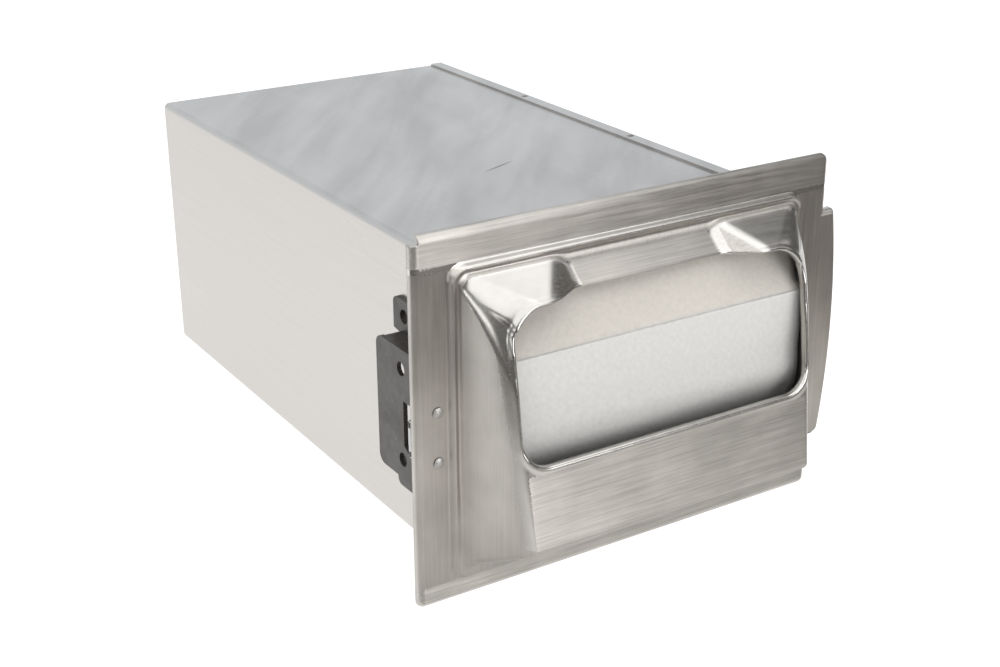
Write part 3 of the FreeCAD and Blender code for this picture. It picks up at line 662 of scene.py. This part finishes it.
def plate_finishes(mesh, start):
    """Finish of each face: 0 brushed across, 1 brushed upright and 2 smooth."""
    count = len(mesh.polygons)
    centres, normals = np.empty(3 * count), np.empty(3 * count)
    mesh.polygons.foreach_get("center", centres)
    mesh.polygons.foreach_get("normal", normals)
    place = (centres.reshape(-1, 3) - np.array(start)) / MM
    turned = np.abs(normals.reshape(-1, 3)[:, 0])
    x, h, depth = np.abs(place[:, 0]), place[:, 2], -place[:, 1]
    top, radius = crown(depth - BEAD_HEIGHT)[1:]
    raised = depth > BEAD_HEIGHT + RAISED_FROM
    scooped = raised & (scoop_depth(x, h) < crown_depth(x, h) - SCOOP_INSIDE)
    scooped &= (place[:, 0] > -SCOOP_HALF) & (np.abs(x - SCOOP_HALF) > SCOOP_BEND + SCOOP_LINE)
    apron = raised & (h < MOUTH_LOW - APRON_DROP) & (turned < FACING_FRONT)
    flat = (turned > FACING_SIDE) | (h < CHIN_H + CHIN_BAND) | (depth < 2 * BEAD_HEIGHT)
    sides = flat & (h < top - CORNER_SHARE * radius)
    kind = np.where(raised & ~sides | (h > TALL - BEAD_TOP - BEAD_WIDE), 2, 1)
    kind[scooped | apron | (h > TALL - BEAD_TOP) | (h < BEAD_BOTTOM)] = 0
    return kind.astype(np.int32)


def build_plate():
    mouth, mouth_out = rounded_outline(MOUTH_HALF + RIM, MOUTH_LOW - RIM, MOUTH_HIGH + RIM,
                                       (MOUTH_CORNER + RIM, MOUTH_TOP_CORNER + RIM))
    flat, flat_out = rounded_outline(HALF - EDGE, EDGE, TALL - EDGE,
                                     (FLANGE_CORNER, FLANGE_CORNER), flange_heights())
    rings = plate_rings(mouth, mouth_out, flat, flat_out)
    root = len(rings) - 1 - BEND_STEPS
    tab_first = ACROSS_COUNT + CORNER_COUNT + LOW_STEPS
    tab_last = tab_first + TAB_STEPS
    vertices = np.concatenate([np.column_stack([spot[:, 0], -depth, spot[:, 1]])
                               for spot, depth in rings])
    tab_points, tab_faces = tab_mesh(list(flat[tab_first:tab_last + 1, 1]),
                                     root * len(flat) + tab_first, len(vertices))
    faces = ring_faces(len(rings), root, flat, flat_out, range(tab_first, tab_last)) + tab_faces
    vertices = np.concatenate([vertices, np.array(tab_points)])
    low_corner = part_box("face_plate")[0]
    flange_y = low_corner.y + CHIN_D * MM
    start = Vector((low_corner.x + HALF * MM, flange_y, low_corner.z))
    plate = add_object("face_plate_sheet", vertices * MM + np.array(start), faces)
    mesh = plate.data
    lay_grain(mesh)
    outer = (across, upright, smooth_steel)
    # The sheet's inner faces get the dark inside finish, which is painted shade.
    for finish in (*outer, finishes["steel_inside"]):
        mesh.materials.append(finish.material)
    mesh.polygons.foreach_set("material_index", plate_finishes(mesh, start))
    thick = plate.modifiers.new("thick", "SOLIDIFY")
    thick.thickness = SHEET * MM
    thick.offset = -1.0
    thick.material_offset = len(outer)
    apply_modifiers(plate)
    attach(plate, "door")
    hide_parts("face_plate")
    return plate


# Towels and spring


def smooth_line(points, steps):
    """Points on a smooth curve through the given ones."""
    line = []
    for index, (start, end) in enumerate(zip(points, points[1:])):
        before = np.array(points[max(index - 1, 0)])
        after = np.array(points[min(index + 2, len(points) - 1)])
        start, end = np.array(start), np.array(end)
        for step in range(steps):
            t = step / steps
            line.append((2 * t ** 3 - 3 * t ** 2 + 1) * start
                        + (t ** 3 - 2 * t ** 2 + t) * (end - before) / 2
                        + (3 * t ** 2 - 2 * t ** 3) * end
                        + (t ** 3 - t ** 2) * (after - start) / 2)
    return line + [np.array(points[-1])]


def build_front_towel():
    """Next towel: its lower ply bulges up to a fold, and its upper ply leans back from it."""
    low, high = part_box("front_towel")
    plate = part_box("face_plate")[0]
    front, back = low.y / MM, high.y / MM
    foot, top = low.z / MM, high.z / MM
    half = high.x / MM
    centre = plate.x / MM + HALF
    flange = plate.y / MM + CHIN_D
    sill = plate.z / MM + MOUTH_LOW
    fold = plate.z / MM + FOLD_H
    lower = smooth_line([(back, foot), (back - 11.0, foot + 22.0), (back - 24.6, sill),
                         (front + 0.7, sill + 16.0), (front + 0.4, fold - 14.0),
                         (front + 0.3, fold)], LOWER_STEPS)
    upper = smooth_line([(front + 0.5, fold + 0.35), (front + 1.1, fold + 0.1),
                         (front + 1.7, fold + 1.2), (front + 8.2, fold + 10.5),
                         (front + 15.5, top - 1.6), (back - 4.0, top - 0.3), (back, top)],
                        UPPER_STEPS)
    line = lower + upper
    width = TOWEL_COLUMNS + 1
    vertices = []
    for row, (y, z) in enumerate(line):
        ahead = flange - y - BEAD_HEIGHT
        room = FOOT_HALF - SIDE_LEAN * ahead - SHEET - TOWEL_GAP
        right = min(half, centre + room)
        if row >= len(lower):
            right -= min(UPPER_TAPER * (z - fold), UPPER_SLANT * ahead - UPPER_CLEAR)
        left = max(-half, centre - room)
        for column in range(width):
            share = column / TOWEL_COLUMNS
            side = 2 * share - 1
            sag = BOW * side * side + WAVE * math.sin(WAVE_ACROSS * side + z * WAVE_UP)
            sag *= min(1.0, (back - y) / BOW_FADE)
            vertices.append(((left + (right - left) * share) * MM,
                             min(max(y + sag, front), back) * MM, z * MM))
    faces = []
    for row in range(len(line) - 1):
        for column in range(TOWEL_COLUMNS):
            a = row * width + column
            faces.append((a, a + 1, a + width + 1, a + width))
    outer = len(vertices)
    for row in range(len(line)):
        for column in (0, TOWEL_COLUMNS):
            x, y, z = vertices[row * width + column]
            vertices.append((x, back * MM, z))
    for row in range(len(line) - 1):
        for side in (0, 1):
            a = row * width + side * TOWEL_COLUMNS
            b = a + width
            c = outer + 2 * row + side
            d = c + 2
            faces.append((b, a, c, d) if side else (a, b, d, c))
        a = outer + 2 * row
        faces.append((a, a + 2, a + 3, a + 1))
    towel = add_object("front_towel_sheet", vertices, faces)
    towel.data.materials.append(finishes["towel_paper"].material)
    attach(towel, "casing")
    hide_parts("front_towel")
    return towel


def build_pile():
    """Pile of folded towels: each shows its own edge at the top, sides and front."""
    low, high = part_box("towel_pile")
    pitch = (high.y - low.y) / PILE_TOWELS
    round_off = pitch * PILE_ROUND
    vertices = []
    faces = []
    for index in range(PILE_TOWELS):
        start = low.y + index * pitch
        shift = sum(reach * math.sin(index * pace) for reach, pace in PILE_SHIFTS)
        drop = PILE_DROP * abs(math.sin(index * PILE_DROP_PACE))
        x0, x1 = low.x + PILE_SIDE + shift, high.x - PILE_SIDE + shift
        z0, z1 = low.z, high.z - drop - PILE_TOP
        base = len(vertices)
        for y, inward in ((start, round_off), (start + round_off, 0.0),
                          (start + pitch - round_off, 0.0), (start + pitch, round_off)):
            vertices += [(x0 + inward, y, z0), (x1 - inward, y, z0),
                         (x1 - inward, y, z1 - inward), (x0 + inward, y, z1 - inward)]
        for ring in range(3):
            for corner in range(4):
                a = base + ring * 4 + corner
                b = base + ring * 4 + (corner + 1) % 4
                faces.append((a, b, b + 4, a + 4))
        faces.append((base, base + 3, base + 2, base + 1))
        faces.append((base + 12, base + 13, base + 14, base + 15))
    pile = add_object("towel_pile_stack", vertices, faces, smooth=False)
    pile.data.materials.append(finishes["towel_paper"].material)
    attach(pile, "casing")
    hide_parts("towel_pile")
    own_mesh(pile)
    return pile


def build_spring():
    """Open coil of round wire with closed end turns."""
    low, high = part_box("pusher_spring")
    radius = high.x - WIRE
    length = high.y - low.y - 2 * WIRE
    pitch = length / (COIL_TURNS - 2 * COIL_CLOSED)
    steps = int(COIL_TURNS * COIL_STEPS)
    vertices = []
    for step in range(steps + 1):
        turn = step / steps * COIL_TURNS
        angle = 2 * math.pi * COIL_TURNS * (step / steps)
        near = min(turn, COIL_TURNS - turn)
        rise = COIL_RISE * WIRE * min(near, 1.0) + pitch * max(near - COIL_CLOSED, 0)
        y = rise if turn < COIL_TURNS / 2 else length - rise
        out = Vector((math.cos(angle), 0, math.sin(angle)))
        middle = Vector((0, low.y + WIRE + min(max(y, 0), length), 0)) + out * radius
        for k in range(COIL_AROUND):
            around = 2 * math.pi * k / COIL_AROUND
            vertices.append(middle + out * WIRE * math.cos(around)
                            + Vector((0, WIRE * math.sin(around), 0)))
    faces = []
    for step in range(steps):
        for k in range(COIL_AROUND):
            a = step * COIL_AROUND + k
            b = step * COIL_AROUND + (k + 1) % COIL_AROUND
            faces.append((a, b, b + COIL_AROUND, a + COIL_AROUND))
    faces.append(tuple(range(COIL_AROUND)))
    faces.append(tuple(reversed(range(steps * COIL_AROUND, (steps + 1) * COIL_AROUND))))
    spring = add_object("pusher_coil", vertices, faces)
    spring.data.materials.append(finishes["spring_steel"].material)
    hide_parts("pusher_spring")
    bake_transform(spring)
    return spring


# Floor and light


def area_light(name, place, target, size, radiance):
    """Soft box of a given brightness: it is bright in the steel, but isn't seen itself."""
    data = bpy.data.lights.new(name, "AREA")
    data.shape = "RECTANGLE"
    data.size, data.size_y = size
    data.energy = radiance * math.pi * size[0] * size[1]
    light = bpy.data.objects.new(name, data)
    light.location = place
    aim = Vector(target) - Vector(place)
    light.rotation_euler = aim.to_track_quat("-Z", "Y").to_euler()
    light.visible_camera = False
    bpy.context.scene.collection.objects.link(light)


def table_card():
    """Glowing card before the object, which only shows in the steel's gloss as a painted
    reflection: pale near the plate and dark further off, as the room beyond a table is, with
    painted shadow right at the plate."""
    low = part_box("face_plate")[0]
    card = add_level("table_card", (-4, 4), (-4, low.y + CHIN_D * MM - 0.001), low.z + 0.0006)
    glow = Finish("table_glow", (0, 0, 0), 0.0, 1.0)
    moved = glow.vector("ADD", glow.place, (0.12, 0.0, 0.0))
    away = glow.vector("MULTIPLY", glow.vector("ABSOLUTE", moved), (0.9, 1.0, 0.0))
    reach = glow.vector("LENGTH", glow.vector("MULTIPLY_ADD", moved, (-0.35, 0.0, 0.0), away))
    tone = glow.ramp(reach, [(0.17, (1.0, 0.985, 0.96)), (0.24, (0.66, 0.635, 0.60)),
                             (0.31, (0.20, 0.185, 0.17)), (0.6, (0.09, 0.083, 0.076))])
    # Painted shadow: the glow falls to 0.6 nearest the plate, for the object's own shadow on the
    # table.
    shade = glow.ramp(glow.spread(glow.along("Y"), -0.14, -0.01), [(0.0, 1.0), (1.0, 0.6)])
    glow.link(glow.shaded(tone, shade), glow.shader.inputs["Emission Color"])
    glow.shader.inputs["Emission Strength"].default_value = 1.0
    glow.shader.inputs["Specular IOR Level"].default_value = 0.0
    card.data.materials.append(glow.material)
    for sight in ("visible_camera", "visible_diffuse", "visible_shadow",
                  "visible_transmission", "visible_volume_scatter"):
        setattr(card, sight, False)


def studio_world():
    """Room that is bright behind the object and darker before it and overhead."""
    world = bpy.data.worlds.new("studio")
    world.use_nodes = True
    sky = Nodes(world.node_tree, "Generated")
    lean = sky.vector("DOT_PRODUCT", sky.place, (-0.2, 1.0, -0.35))
    tone = sky.ramp(lean, [(0.12, (0.13, 0.125, 0.12)), (0.30, (0.55, 0.57, 0.59)),
                           (0.45, (0.90, 0.95, 1.0))])
    background = sky.tree.nodes["Background"]
    sky.link(tone, background.inputs["Color"])
    background.inputs["Strength"].default_value = 1.0
    bpy.context.scene.world = world


def build_stage():
    floor = add_level("floor", (-6, 6), (-6, 8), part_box("face_plate")[0].z - 0.0004)
    paint = Finish("floor_paint", (0.4, 0.4, 0.4), 0.0, 0.9)
    paint.paint(paint.ramp(paint.noise((3, 3, 3), 2.0), [(0.3, 0.39), (0.7, 0.41)]))
    paint.shader.inputs["Emission Color"].default_value = (1.0, 1.0, 1.0, 1)
    paint.shader.inputs["Emission Strength"].default_value = 0.9
    floor.data.materials.append(paint.material)
    table_card()
    studio_world()
    middle = (0.0, 0.0, 0.0)
    area_light("overhead", (-0.45, -0.55, 1.2), (-0.45, -0.55, 0.0), (2.6, 1.9), 1.5)
    area_light("side", (1.08, -0.35, 1.12), (0.1, -0.35, 0.0), (0.4, 1.3), 0.55)
    area_light("front", (0.28, -1.16, 0.32), middle, (0.7, 0.7), 3.7)
    area_light("left", (-1.05, -0.5, 0.25), middle, (0.5, 0.2), 2.2)
    bpy.context.scene.view_settings.view_transform = "Standard"


add_camera()
build_plate()
build_front_towel()
build_pile()
build_spring()
build_stage()
